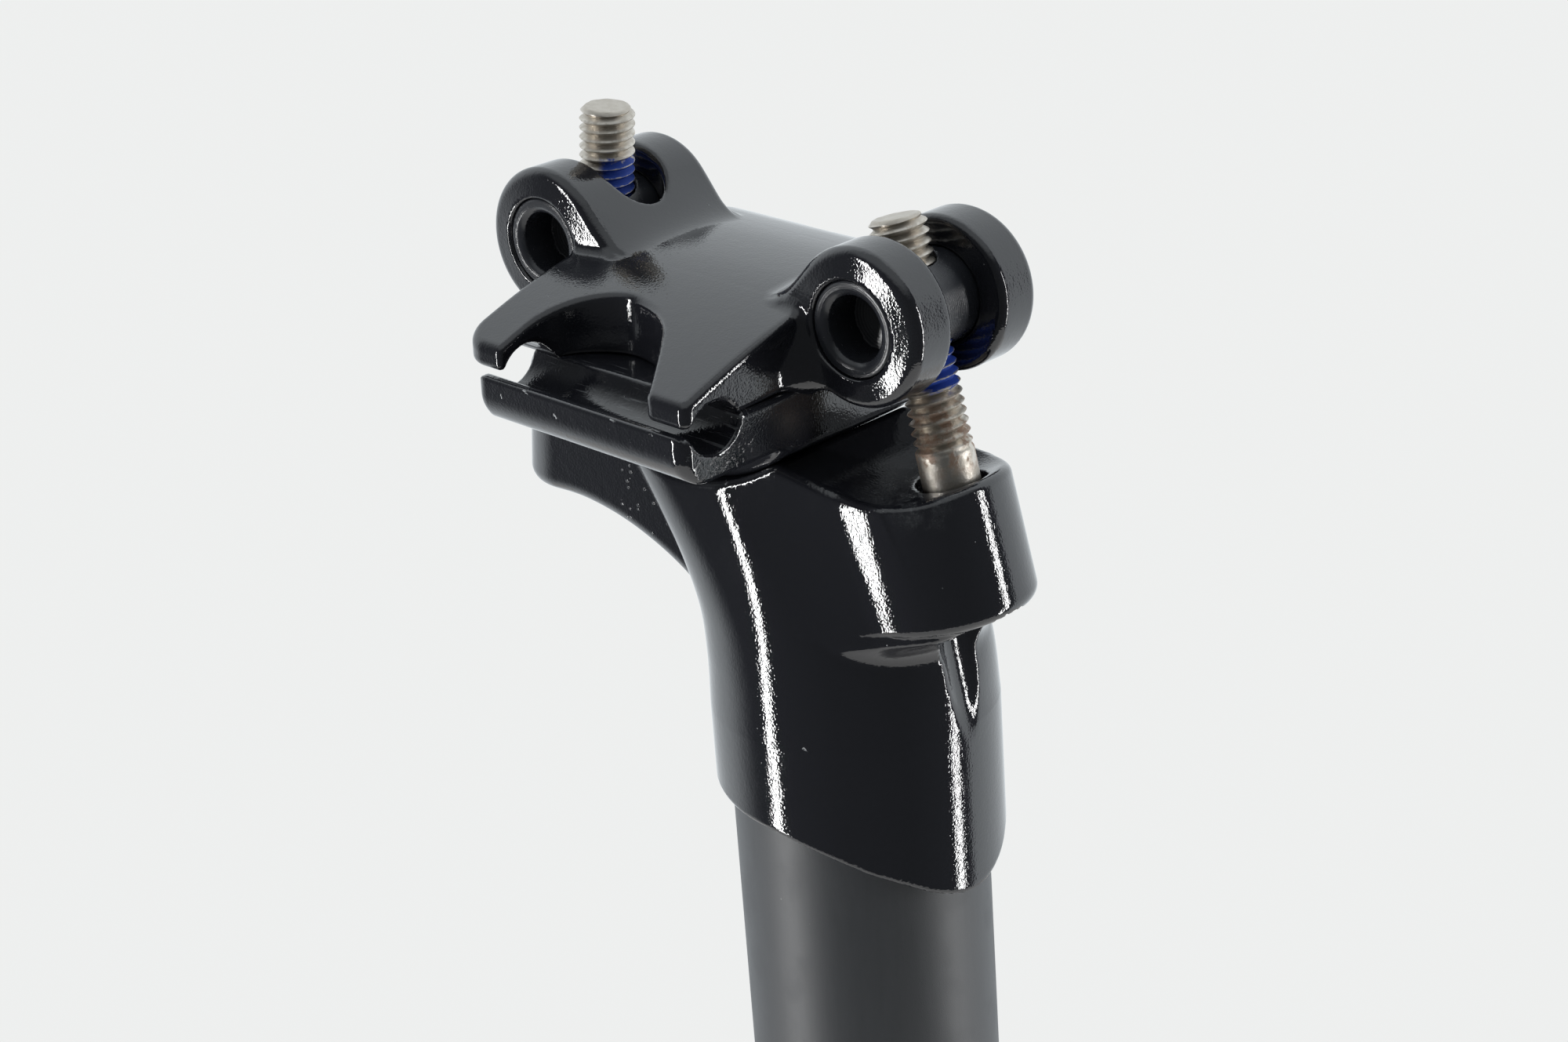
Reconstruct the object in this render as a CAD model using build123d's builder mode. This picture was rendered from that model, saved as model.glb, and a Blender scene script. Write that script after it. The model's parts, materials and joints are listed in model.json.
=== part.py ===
from build123d import *
from math import cos, radians, sin, sqrt
import os

# Post tube: its open lower end is the origin, its axis is Z, +X points to the saddle nose
tube_d = 27.2
tube_wall = 2.2
tube_len = 307.5
spigot_cut = 0.25
bond_gap = 0.2
bond_bead = 0.35

# Head sleeve around the tube, with a tongue-shaped lower rim; heights are from the tube's top end
sleeve_wall = 1.6
sleeve_low = 24.5
rim_curve = [
    (-20, -9.9),
    (-4.2, -10.9),
    (3.5, -12.1),
    (10, -15.2),
    (13.9, -18.4),
    (15.6, -20.9),
    (16.8, -24.0),
]

# Neck sections above the sleeve: height, middle, half length, half width beyond the sleeve's radius
neck = [
    (-1.5, 0.0, 0.0, 0.0),
    (4.5, -0.2, 0.0, -0.5),
    (9.5, -0.9, 0.2, -1.5),
    (14.5, -2.5, 0.7, -2.6),
    (19.5, -4.4, 1.7, -3.4),
    (24.5, -6.6, 2.7, -3.9),
    (30.5, -9.6, 3.7, -4.2),
    (35.5, -12.0, 4.4, -4.4),
]

# Rail clamp: 7 mm rails 44 mm apart, set back from the tube and pitched nose down
rail_d = 7.0
rail_span = 44.0
rail_rise = 37.5
setback = 10.4
pitch = 3.5
nut_rise = 6.6
nut_span = 42.4

# Bolts: how far each leans in at the top, and where its ends lie along it from its nut
front_lean = 11.5
rear_lean = 7.8
bolt_d = 5.9
bolt_len = 35.0
bolt_tip = 0.6
front_end = 8.8
rear_end = 13.0
bolt_head_d = 8.2
bolt_head_h = 4.8
hex_key = 4.0
hex_deep = 2.8
thread_play = 0.05

# Domed washer under each bolt head, in a cupped seat
washer_bore = 6.3
washer_edge = 0.9
dome_r = 7.0
seat_gap = 0.25
bolt_hole_d = 7.2
head_bore_d = 9.0

# Barrel nuts
nut_d = 9.7
nut_len = 18.4
nut_play = 0.05
nut_hollow_d = 7.4
nut_hollow = 4.4
nut_edge = 0.5

# Head ears: front lobe and rear ear around the bolts, measured along each bolt from its nut
lobe_r = 10.4
lobe_back = 4.9
lobe_top = 17.2
lobe_low = 31.0
lobe_edge = 2.2
lobe_blend = 5.0
valley_blend = 3.0
ear_r = 8.3
ear_top = 15.5
ear_edge = 2.0
ear_deep = 29.3
ear_under = [(-17, 0), (-7.8, 0), (1, -0.7), (9.1, -3.4), (14.6, -6.3), (21.2, -11.6)]
key_way_d = 10.4

# Rocker seat under the lower cradle, turning about the nut height
rocker_r = 19.7
rocker_play = 0.05
seat_rear = 12.1
seat_lip = 16.5
ridge_back = 4.2

# Lower cradle
cradle_rear = 13.6
cradle_front = 15.2
lip_wall = 1.1
cradle_floor = 6.2
cradle_core = 10.8
lip_top = 0.85
lip_round = 3.4
hump_top = 0.5

# Upper clamp
arm_short = 5.6
arm_over = 4.5
arm_low = 0.5
crown = 8.0
crown_edge = 4.0
plate_in = 3.2
plate_under = 2.6
notch_rear = 8.4
notch_in = 6.8
notch_bend = 1.5
notch_front = 10.9
notch_corner = 5.0
boss_r = 8.0
boss_half = 9.6
boss_blend = 4.5
boss_sink = 0.6
arm_blend = 4.0
fork_half = 3.8
fork_root = 14.0

ex = Vector(cos(radians(pitch)), 0, -sin(radians(pitch)))
ez = Vector(sin(radians(pitch)), 0, cos(radians(pitch)))
clamp_mid = Vector(-setback, 0, tube_len + rail_rise)
rocker_mid = clamp_mid + ez * nut_rise
front_mid = rocker_mid + ex * (nut_span / 2)
rear_mid = rocker_mid - ex * (nut_span / 2)

side = Plane(origin=(0, 0, 0), x_dir=(1, 0, 0), z_dir=(0, -1, 0))
clamp_side = Plane(origin=clamp_mid, x_dir=ex, z_dir=(0, -1, 0))
clamp_end = Plane(origin=clamp_mid, x_dir=(0, 1, 0), z_dir=ex)
clamp_plan = Plane(origin=clamp_mid, x_dir=ex, z_dir=ez)
front_dir = Vector(cos(radians(front_lean)), 0, sin(radians(front_lean)))
rear_dir = Vector(cos(radians(rear_lean)), 0, -sin(radians(rear_lean)))
front_side = Plane(origin=front_mid, x_dir=front_dir, z_dir=(0, -1, 0))
rear_side = Plane(origin=rear_mid, x_dir=rear_dir, z_dir=(0, -1, 0))
front_plan = Plane(origin=front_mid, x_dir=front_dir, z_dir=front_side.y_dir)
rear_plan = Plane(origin=rear_mid, x_dir=rear_dir, z_dir=rear_side.y_dir)

tube_r = tube_d / 2
spigot_r = tube_r - spigot_cut
socket_r = tube_r + bond_gap
sleeve_r = tube_r + sleeve_wall
rail_r = rail_d / 2
rail_y = rail_span / 2
cradle_half = rail_y + rail_r + lip_wall
arm_half = rail_y + arm_over
arm_reach = nut_span / 2 - arm_short
notch_root = rail_y - notch_in
cup_r = rocker_r + rocker_play
bolt_r = bolt_d / 2
head_r = bolt_head_d / 2
front_seat = front_end - bolt_len
rear_seat = rear_end - bolt_len
dome_edge = sqrt(dome_r**2 - head_r**2)

os.makedirs("parts", exist_ok=True)

# The end that is bonded into the head is ground a little thinner
with BuildPart() as tube:
    with BuildSketch():
        Circle(tube_r)
    extrude(amount=tube_len - sleeve_low)
    with BuildSketch(Plane.XY.offset(tube_len - sleeve_low)):
        Circle(spigot_r)
    extrude(amount=sleeve_low)
    with BuildSketch():
        Circle(tube_r - tube_wall)
    extrude(amount=tube_len, mode=Mode.SUBTRACT)
tube.part.label = "tube"
export_step(tube.part, "parts/tube.step")

# Adhesive sleeve, squeezed out a little below the rim
with BuildPart() as bond:
    with BuildSketch(Plane.XY.offset(tube_len)):
        Circle(socket_r)
        Circle(spigot_r, mode=Mode.SUBTRACT)
    extrude(amount=-sleeve_low)
    with BuildSketch(side):
        with BuildLine():
            rim = Spline(*[(x, tube_len + z - bond_bead) for x, z in rim_curve])
            low = tube_len - 3 * sleeve_low
            far = 2 * sleeve_r
            Polyline(rim @ 1, (far, (rim @ 1).Y), (far, low), (-far, low), (-far, (rim @ 0).Y), rim @ 0)
        make_face()
    extrude(amount=2 * sleeve_r, both=True, mode=Mode.SUBTRACT)
bond.part.label = "bond"
export_step(bond.part, "parts/bond.step")

# Front lobe and rear ear as blocks that the head takes in
with BuildPart() as lobe_block:
    with BuildSketch(front_plan.offset(-lobe_low)):
        with Locations((-lobe_back, 0)):
            Circle(lobe_r)
            with Locations((-sleeve_r / 2, 0)):
                Rectangle(sleeve_r, 2 * lobe_r)
    extrude(amount=lobe_low - lobe_top + 6)
    fillet(lobe_block.faces().sort_by(Axis(front_mid, front_plan.z_dir))[0].edges(), radius=lobe_edge)

with BuildPart() as ear_block:
    with BuildSketch(rear_plan.offset(-2 * ear_deep)):
        Circle(ear_r)
        with Locations((nut_span / 4, 0)):
            Rectangle(nut_span / 2, 2 * ear_r)
    extrude(amount=2 * ear_deep - ear_top + 4)
    with BuildSketch(side):
        with BuildLine():
            under = Spline(*[(rear_mid.X + x, rear_mid.Z - ear_deep + z) for x, z in ear_under])
            low = rear_mid.Z - 3 * ear_deep
            far = (under @ 1).X + nut_span
            Polyline(under @ 1, (far, (under @ 1).Y), (far, low), ((under @ 0).X, low), under @ 0)
        make_face()
    extrude(amount=2 * ear_r, both=True, mode=Mode.SUBTRACT)
    fillet(
        ear_block.edges().filter_by(
            lambda e: e.geom_type == GeomType.BSPLINE and abs(e.center().Y) > 0.3 * ear_r
        ),
        radius=ear_edge,
    )

with BuildPart() as head:
    with BuildSketch(Plane.XY.offset(tube_len - sleeve_low)):
        Circle(sleeve_r)
    extrude(amount=sleeve_low + neck[0][0])
    for z, mid, more_length, more_width in neck:
        with BuildSketch(Plane.XY.offset(tube_len + z)):
            with Locations((mid, 0)):
                Ellipse(sleeve_r + more_length, sleeve_r + more_width)
    loft()
    add(ear_block.part)
    add(lobe_block.part)
    # everything above the ear, the rocker seat and the lobe
    with BuildSketch(side):
        with BuildLine():
            lobe_line = front_side.from_local_coords(Vector(-ridge_back, -lobe_top, 0))
            lobe_far = front_side.from_local_coords(Vector(nut_span / 2, -lobe_top, 0))
            ear_far = rear_side.from_local_coords(Vector(-nut_span / 2, -ear_top, 0))
            lip_x = rocker_mid.X + sqrt(cup_r**2 - seat_lip**2)
            rear_z = rocker_mid.Z - sqrt(cup_r**2 - seat_rear**2)
            high = rocker_mid.Z + nut_span
            seat = ThreePointArc(
                (rocker_mid.X - seat_rear, rear_z),
                (rocker_mid.X, rocker_mid.Z - cup_r),
                (lip_x, rocker_mid.Z - seat_lip),
            )
            Polyline(
                seat @ 1,
                (lobe_line.X, lobe_line.Z),
                (lobe_far.X, lobe_far.Z),
                (lobe_far.X, high),
                (ear_far.X, high),
                (ear_far.X, ear_far.Z),
                seat @ 0,
            )
        make_face()
    extrude(amount=nut_span, both=True, mode=Mode.SUBTRACT)
    # everything below the rim
    with BuildSketch(side):
        with BuildLine():
            rim = Spline(*[(x, tube_len + z) for x, z in rim_curve])
            low = tube_len - 3 * sleeve_low
            far = 2 * sleeve_r
            Polyline(rim @ 1, (far, (rim @ 1).Y), (far, low), (-far, low), (-far, (rim @ 0).Y), rim @ 0)
        make_face()
    extrude(amount=2 * sleeve_r, both=True, mode=Mode.SUBTRACT)
    # lobe running into the neck, and the valley behind it
    fillet(
        head.edges().filter_by(
            lambda e: e.geom_type == GeomType.BSPLINE
            and abs(abs(e.center().Y) - lobe_r) < 0.02
            and e.length > lobe_r / 3
        ),
        radius=lobe_blend,
    )
    fillet(
        head.edges()
        .filter_by(Axis.Y)
        .filter_by(lambda e: abs(e.center().X - lobe_line.X) < ridge_back / 4),
        radius=valley_blend,
    )
    # socket for the tube
    with BuildSketch(Plane.XY.offset(tube_len)):
        Circle(socket_r)
    extrude(amount=-2 * sleeve_low, mode=Mode.SUBTRACT)
    # bolt hole, cupped washer seat and head bore of each ear
    for plane, seat_s, low in (
        (front_side, front_seat, -lobe_low - 0.5),
        (rear_side, rear_seat, -1.5 * ear_deep),
    ):
        cup_mid = seat_s + washer_edge - dome_edge
        cup = dome_r + seat_gap
        hole = bolt_hole_d / 2
        bore = head_bore_d / 2
        half = (hole + bore) / 2
        with BuildSketch(plane):
            with BuildLine():
                dome = ThreePointArc(
                    (hole, cup_mid + sqrt(cup**2 - hole**2)),
                    (half, cup_mid + sqrt(cup**2 - half**2)),
                    (bore, cup_mid + sqrt(cup**2 - bore**2)),
                )
                Polyline(dome @ 1, (bore, low), (0, low), (0, 0), (hole, 0), dome @ 0)
            make_face()
        revolve(axis=Axis(plane.origin, plane.y_dir), mode=Mode.SUBTRACT)
    # way for the hex key, scooped out of the neck below the lobe
    with BuildSketch(front_plan.offset(-lobe_low)):
        Circle(key_way_d / 2)
    extrude(amount=-2 * lobe_low, mode=Mode.SUBTRACT)
head.part.label = "head"
export_step(head.part, "parts/head.step")

with BuildPart() as lower_cradle:
    with BuildSketch(clamp_end.offset(-cradle_rear)):
        with BuildLine():
            inner = sqrt(rail_r**2 - hump_top**2)
            outer = sqrt(rail_r**2 - lip_top**2)
            groove = ThreePointArc((rail_y - inner, -hump_top), (rail_y, -rail_r), (rail_y + outer, -lip_top))
            Polyline(
                groove @ 1,
                (cradle_half, -lip_top),
                (cradle_half, -cradle_floor),
                (0, -cradle_floor),
                (0, -hump_top),
                groove @ 0,
            )
        make_face()
        fillet(vertices().sort_by(Axis.X)[-2:].sort_by(Axis.Y)[0], radius=lip_round)
        mirror(about=Plane.YZ)
    extrude(amount=cradle_rear + cradle_front)
    # round rocker below, cut off by the ends of the cradle
    with BuildSketch(clamp_side):
        with Locations((0, nut_rise)):
            Circle(rocker_r)
            Rectangle(4 * rocker_r, 2 * (nut_rise + cradle_floor - 1), mode=Mode.SUBTRACT)
        with Locations((0, rocker_r)):
            Rectangle(4 * rocker_r, 2 * rocker_r, mode=Mode.SUBTRACT)
        with Locations(((cradle_front - cradle_rear) / 2, -rocker_r)):
            Rectangle(cradle_front + cradle_rear, 2 * rocker_r, mode=Mode.INTERSECT)
    extrude(amount=cradle_core, both=True)
lower_cradle.part.label = "lower_cradle"
export_step(lower_cradle.part, "parts/lower_cradle.step")

with BuildPart() as upper_clamp:
    with BuildSketch(clamp_end.offset(-arm_reach)):
        with BuildLine():
            top = ThreePointArc((-arm_half, crown_edge), (0, crown), (arm_half, crown_edge))
            Polyline(top @ 0, (-arm_half, arm_low), (arm_half, arm_low), top @ 1)
        make_face()
        Rectangle(2 * (rail_y - plate_in), 2 * plate_under, mode=Mode.SUBTRACT)
        with Locations((-rail_y, 0), (rail_y, 0)):
            Circle(rail_r, mode=Mode.SUBTRACT)
    extrude(amount=2 * arm_reach)
    # notch between the two arms of each side
    with BuildSketch(clamp_plan):
        with BuildLine():
            Polyline(
                (-notch_rear, -2 * arm_half),
                (-notch_rear, -notch_root),
                (notch_bend, -notch_root),
                (notch_front, -arm_half),
                (notch_front, -2 * arm_half),
                close=True,
            )
        make_face()
        fillet(vertices().filter_by(lambda v: v.Y > -notch_root - 1), radius=notch_corner)
        mirror(about=Plane.XZ)
    extrude(amount=20, both=True, mode=Mode.SUBTRACT)
    # bosses for the barrel nuts, each running into the plate's top
    with BuildSketch(clamp_side):
        with Locations((0, (crown - boss_sink + plate_under) / 2)):
            Rectangle(2 * arm_reach, crown - boss_sink - plate_under)
        with Locations((-nut_span / 2, nut_rise), (nut_span / 2, nut_rise)):
            Circle(boss_r)
        fillet(
            vertices().filter_by(lambda v: abs(v.Y - crown + boss_sink) < 0.01 and abs(v.X) < arm_reach),
            radius=boss_blend,
        )
    extrude(amount=boss_half, both=True)
    fillet(
        upper_clamp.edges()
        .filter_by(Axis(clamp_mid, ez))
        .filter_by(lambda e: abs(abs(e.center().Y) - boss_half) < 0.1 and e.length < boss_r),
        radius=arm_blend,
    )
    # fork slots open to front and rear, then the nut bores
    with BuildSketch(clamp_plan):
        for sign in (-1, 1):
            with Locations((sign * (fork_root + fork_half), 0)):
                Circle(fork_half)
            with Locations((sign * (fork_root + fork_half + 15), 0)):
                Rectangle(30, 2 * fork_half)
    extrude(amount=40, both=True, mode=Mode.SUBTRACT)
    with BuildSketch(clamp_side):
        with Locations((-nut_span / 2, nut_rise), (nut_span / 2, nut_rise)):
            Circle(nut_d / 2 + nut_play)
    extrude(amount=40, both=True, mode=Mode.SUBTRACT)
upper_clamp.part.label = "upper_clamp"
export_step(upper_clamp.part, "parts/upper_clamp.step")

with BuildPart() as front_nut:
    with BuildSketch(front_side):
        Circle(nut_d / 2)
    extrude(amount=nut_len / 2, both=True)
    chamfer(front_nut.edges(), length=nut_edge)
    for y in (-nut_len / 2, nut_len / 2):
        with BuildSketch(front_side.offset(y)):
            Circle(nut_hollow_d / 2)
        extrude(amount=nut_hollow if y < 0 else -nut_hollow, mode=Mode.SUBTRACT)
    with BuildSketch(front_plan):
        Circle(bolt_r + thread_play)
    extrude(amount=nut_d, both=True, mode=Mode.SUBTRACT)
front_nut.part.label = "front_nut"
export_step(front_nut.part, "parts/front_nut.step")

with BuildPart() as rear_nut:
    with BuildSketch(rear_side):
        Circle(nut_d / 2)
    extrude(amount=nut_len / 2, both=True)
    chamfer(rear_nut.edges(), length=nut_edge)
    for y in (-nut_len / 2, nut_len / 2):
        with BuildSketch(rear_side.offset(y)):
            Circle(nut_hollow_d / 2)
        extrude(amount=nut_hollow if y < 0 else -nut_hollow, mode=Mode.SUBTRACT)
    with BuildSketch(rear_plan):
        Circle(bolt_r + thread_play)
    extrude(amount=nut_d, both=True, mode=Mode.SUBTRACT)
rear_nut.part.label = "rear_nut"
export_step(rear_nut.part, "parts/rear_nut.step")

with BuildPart() as front_bolt:
    with BuildSketch(front_plan.offset(front_seat)):
        Circle(bolt_r)
    extrude(amount=bolt_len)
    chamfer(front_bolt.edges().sort_by(Axis(front_mid, front_plan.z_dir))[-1], length=bolt_tip)
    with BuildSketch(front_plan.offset(front_seat)):
        Circle(head_r)
    extrude(amount=-bolt_head_h)
    fillet(front_bolt.edges().sort_by(Axis(front_mid, front_plan.z_dir))[0], radius=0.5)
    with BuildSketch(front_plan.offset(front_seat - bolt_head_h)):
        RegularPolygon(hex_key / 2, 6, major_radius=False)
    extrude(amount=hex_deep, mode=Mode.SUBTRACT)
front_bolt.part.label = "front_bolt"
export_step(front_bolt.part, "parts/front_bolt.step")

with BuildPart() as rear_bolt:
    with BuildSketch(rear_plan.offset(rear_seat)):
        Circle(bolt_r)
    extrude(amount=bolt_len)
    chamfer(rear_bolt.edges().sort_by(Axis(rear_mid, rear_plan.z_dir))[-1], length=bolt_tip)
    with BuildSketch(rear_plan.offset(rear_seat)):
        Circle(head_r)
    extrude(amount=-bolt_head_h)
    fillet(rear_bolt.edges().sort_by(Axis(rear_mid, rear_plan.z_dir))[0], radius=0.5)
    with BuildSketch(rear_plan.offset(rear_seat - bolt_head_h)):
        RegularPolygon(hex_key / 2, 6, major_radius=False)
    extrude(amount=hex_deep, mode=Mode.SUBTRACT)
rear_bolt.part.label = "rear_bolt"
export_step(rear_bolt.part, "parts/rear_bolt.step")

with BuildPart() as front_washer:
    with BuildSketch(front_side):
        with BuildLine():
            dome_mid = front_seat + washer_edge - dome_edge
            bore = washer_bore / 2
            half = (bore + head_r) / 2
            dome = ThreePointArc(
                (bore, dome_mid + sqrt(dome_r**2 - bore**2)),
                (half, dome_mid + sqrt(dome_r**2 - half**2)),
                (head_r, front_seat + washer_edge),
            )
            Polyline(dome @ 1, (head_r, front_seat), (bore, front_seat), dome @ 0)
        make_face()
    revolve(axis=Axis(front_mid, front_side.y_dir))
front_washer.part.label = "front_washer"
export_step(front_washer.part, "parts/front_washer.step")

with BuildPart() as rear_washer:
    with BuildSketch(rear_side):
        with BuildLine():
            dome_mid = rear_seat + washer_edge - dome_edge
            bore = washer_bore / 2
            half = (bore + head_r) / 2
            dome = ThreePointArc(
                (bore, dome_mid + sqrt(dome_r**2 - bore**2)),
                (half, dome_mid + sqrt(dome_r**2 - half**2)),
                (head_r, rear_seat + washer_edge),
            )
            Polyline(dome @ 1, (head_r, rear_seat), (bore, rear_seat), dome @ 0)
        make_face()
    revolve(axis=Axis(rear_mid, rear_side.y_dir))
rear_washer.part.label = "rear_washer"
export_step(rear_washer.part, "parts/rear_washer.step")
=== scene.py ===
import bpy, bmesh, json, math
import numpy as np
from mathutils import Matrix, Vector


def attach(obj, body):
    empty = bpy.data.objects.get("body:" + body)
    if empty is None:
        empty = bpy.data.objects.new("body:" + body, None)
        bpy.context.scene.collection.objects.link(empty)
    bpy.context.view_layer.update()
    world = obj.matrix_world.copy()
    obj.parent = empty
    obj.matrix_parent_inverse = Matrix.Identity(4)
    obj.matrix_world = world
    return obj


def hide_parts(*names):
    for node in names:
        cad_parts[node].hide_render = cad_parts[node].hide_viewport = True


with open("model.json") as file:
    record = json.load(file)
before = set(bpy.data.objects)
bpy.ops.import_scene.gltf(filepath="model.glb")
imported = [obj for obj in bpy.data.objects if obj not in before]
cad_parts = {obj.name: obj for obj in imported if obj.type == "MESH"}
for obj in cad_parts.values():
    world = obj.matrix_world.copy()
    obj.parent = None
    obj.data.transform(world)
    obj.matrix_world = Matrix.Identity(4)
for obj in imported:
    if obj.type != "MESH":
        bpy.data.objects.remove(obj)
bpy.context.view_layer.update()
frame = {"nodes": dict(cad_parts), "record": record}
bodyOf = {node: body for body, nodes in frame["record"]["behaviour"]["bodies"].items() for node in nodes}
print("frame loaded:", len(frame["nodes"]), "nodes")

# lengths below are millimetres in the frame of the part, meshes go out in metres
mm = 0.001
layout = {
    "clampMid": (-10.4, 0.0, 345.0),  # middle of the two rails
    "clampTurn": 3.5,                 # rails pitched nose down
    "nutRise": 6.6,                   # nuts above the rails
    "nutSpan": 42.4,
    "frontTurn": -11.5,               # lean of each bolt about Y
    "rearTurn": 7.8,
}


def turned(degrees):
    a = math.radians(degrees)
    return np.array([math.cos(a), 0, -math.sin(a)]), np.array([math.sin(a), 0, math.cos(a)])


clampMid = np.array(layout["clampMid"])
clampX, clampZ = turned(layout["clampTurn"])
rockerMid = clampMid + clampZ * layout["nutRise"]
frontMid = rockerMid + clampX * layout["nutSpan"] / 2
rearMid = rockerMid - clampX * layout["nutSpan"] / 2
frontX, frontZ = turned(layout["frontTurn"])
rearX, rearZ = turned(layout["rearTurn"])
headFrame = (np.zeros(3), *turned(0))
clampFrame = (clampMid, clampX, clampZ)


# rounded joins, keeps and cuts of distance fields
def joinRound(a, b, r):
    return np.maximum(r, np.minimum(a, b)) - np.hypot(np.maximum(r - a, 0), np.maximum(r - b, 0))


def keepRound(a, b, r):
    return np.minimum(-r, np.maximum(a, b)) + np.hypot(np.maximum(r + a, 0), np.maximum(r + b, 0))


def cutRound(a, b, r):
    return keepRound(a, -b, r)


def joinSoft(a, b, k):
    return np.minimum(a, b) - np.maximum(k - np.abs(a - b), 0) ** 2 / (4 * k)


def ovalField(x, y, a, b):
    k = np.maximum(np.hypot(x / a, y / b), 1e-6)
    return (k - 1) * k / np.maximum(np.hypot(x / a ** 2, y / b ** 2), 1e-6)


def easeCurve(at, knots, values):
    knots, values = np.asarray(knots, float), np.asarray(values, float)
    slopes = np.gradient(values, knots)
    i = np.clip(np.searchsorted(knots, at) - 1, 0, len(knots) - 2)
    h = knots[i + 1] - knots[i]
    t = np.clip((at - knots[i]) / h, 0, 1)
    low = (1 + 2 * t) * (1 - t) ** 2 * values[i] + t * (1 - t) ** 2 * h * slopes[i]
    return low + t * t * (3 - 2 * t) * values[i + 1] + t * t * (t - 1) * h * slopes[i + 1]


def easeStep(at, low, high):
    t = np.clip((at - low) / (high - low), 0, 1)
    return t * t * (3 - 2 * t)


def slopeAt(field, points, reach=0.02):
    slope = np.empty_like(points)
    for axis in range(3):
        push = np.zeros(3)
        push[axis] = reach
        slope[:, axis] = (field(*(points + push).T) - field(*(points - push).T)) / (2 * reach)
    return slope


def ontoSurface(field, points, rounds, limit):
    for _ in range(rounds):
        slope = slopeAt(field, points)
        drop = field(*points.T) / np.maximum((slope ** 2).sum(1), 0.05)
        points = points - np.clip(drop, -limit, limit)[:, None] * slope
    return points


def evenOut(field, points, quads, step, rounds=3):  # spreads the quads along the surface
    count = len(points)
    for _ in range(rounds):
        near, ties = np.zeros_like(points), np.zeros(count)
        for k in range(4):
            side = (quads[:, k], quads[:, (k + 1) % 4])
            for here, there in (side, side[::-1]):
                ties += np.bincount(here, minlength=count)
                for axis in range(3):
                    near[:, axis] += np.bincount(here, weights=points[there, axis], minlength=count)
        points = ontoSurface(field, (points + near / ties[:, None]) * 0.5, 2, step)
    return points


# skins a distance field with quads, one vertex in each cell that the surface crosses
def skinField(name, field, shape, place):
    step = shape["step"]
    axes = [np.arange(low, high + step, step) for low, high in zip(*shape["box"])]
    gridY, gridZ = np.meshgrid(axes[1], axes[2], indexing="ij")
    values = np.stack([field(np.full_like(gridY, x), gridY, gridZ) for x in axes[0]])
    values[values == 0] = 1e-9
    size = values.shape
    total = np.zeros((values.size, 3))
    count = np.zeros(values.size)
    quads = []
    for axis in range(3):
        u, v = (axis + 1) % 3, (axis + 2) % 3
        first = [slice(None)] * 3
        last = [slice(None)] * 3
        first[axis], last[axis] = slice(0, -1), slice(1, None)
        a, b = values[tuple(first)], values[tuple(last)]
        at = np.argwhere((a < 0) != (b < 0))
        va, vb = a[tuple(at.T)], b[tuple(at.T)]
        spot = at.astype(float)
        spot[:, axis] += va / (va - vb)
        corners = []
        for du, dv in ((1, 1), (0, 1), (0, 0), (1, 0)):
            cell = at.copy()
            cell[:, u] -= du
            cell[:, v] -= dv
            flat = np.ravel_multi_index(tuple(cell.T), size)
            corners.append(flat)
            count += np.bincount(flat, minlength=values.size)
            for k in range(3):
                total[:, k] += np.bincount(flat, weights=spot[:, k], minlength=values.size)
        ring = np.stack(corners, 1)
        ring[va > 0] = ring[va > 0][:, ::-1]
        quads.append(ring)
    quads = np.concatenate(quads)
    used = np.flatnonzero(count)
    points = total[used] / count[used][:, None] * step + np.array([a[0] for a in axes])
    number = np.full(values.size, -1)
    number[used] = np.arange(len(used))
    quads = number[quads]
    points = ontoSurface(field, points, 3, step)
    points = evenOut(field, points, quads, step)
    normals = slopeAt(field, points)
    normals /= np.maximum(np.linalg.norm(normals, axis=1), 1e-9)[:, None]
    mid, alongX, alongZ = place
    turn = np.stack([alongX, np.array([0.0, 1.0, 0.0]), alongZ])
    mesh = bpy.data.meshes.new(name)
    mesh.from_pydata((points @ turn + mid) * mm, [], quads.tolist())
    mesh.validate()
    mesh.shade_smooth()
    mesh.normals_split_custom_set_from_vertices((normals @ turn).tolist())
    print("skinned", name, len(quads), "quads")
    return mesh


def addObject(data):
    item = bpy.data.objects.new(data.name, data)
    bpy.context.scene.collection.objects.link(item)
    return item


def repaint(mesh, finish):
    mesh.materials.clear()
    mesh.materials.append(finish)


def addPiece(mesh, finish):
    piece = addObject(mesh)
    repaint(mesh, finish)
    return piece


def settle(piece, node):
    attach(piece, bodyOf[node])
    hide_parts(node)


# small helpers for node trees
def plug(tree, socket, value):
    if isinstance(value, bpy.types.NodeSocket):
        tree.links.new(value, socket)
    elif value is not None:
        socket.default_value = value


def addNode(tree, kind, inputs=None, **settings):
    node = tree.nodes.new(kind)
    for key, value in settings.items():
        setattr(node, key, value)
    for key, value in (inputs or {}).items():
        plug(tree, node.inputs[key], value)
    return node.outputs


def calc(tree, operation, a, b=None, c=None, clamp=False):
    return addNode(tree, "ShaderNodeMath", {0: a, 1: b, 2: c}, operation=operation, use_clamp=clamp)[0]


def add(tree, a, b):
    return calc(tree, "ADD", a, b)


def sub(tree, a, b):
    return calc(tree, "SUBTRACT", a, b)


def mul(tree, product, *factors):
    for factor in factors:
        product = calc(tree, "MULTIPLY", product, factor)
    return product


def mulAdd(tree, a, b, c):
    return calc(tree, "MULTIPLY_ADD", a, b, c)


def larger(tree, a, b):
    return calc(tree, "MAXIMUM", a, b)


def lengthOf(tree, a, b):
    return calc(tree, "SQRT", add(tree, mul(tree, a, a), mul(tree, b, b)))


def vecCalc(tree, operation, a, b=None, c=None, scale=None):
    outputs = addNode(tree, "ShaderNodeVectorMath", {0: a, 1: b, 2: c, 3: scale}, operation=operation)
    return outputs["Value" if operation in ("DOT_PRODUCT", "LENGTH") else "Vector"]


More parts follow.
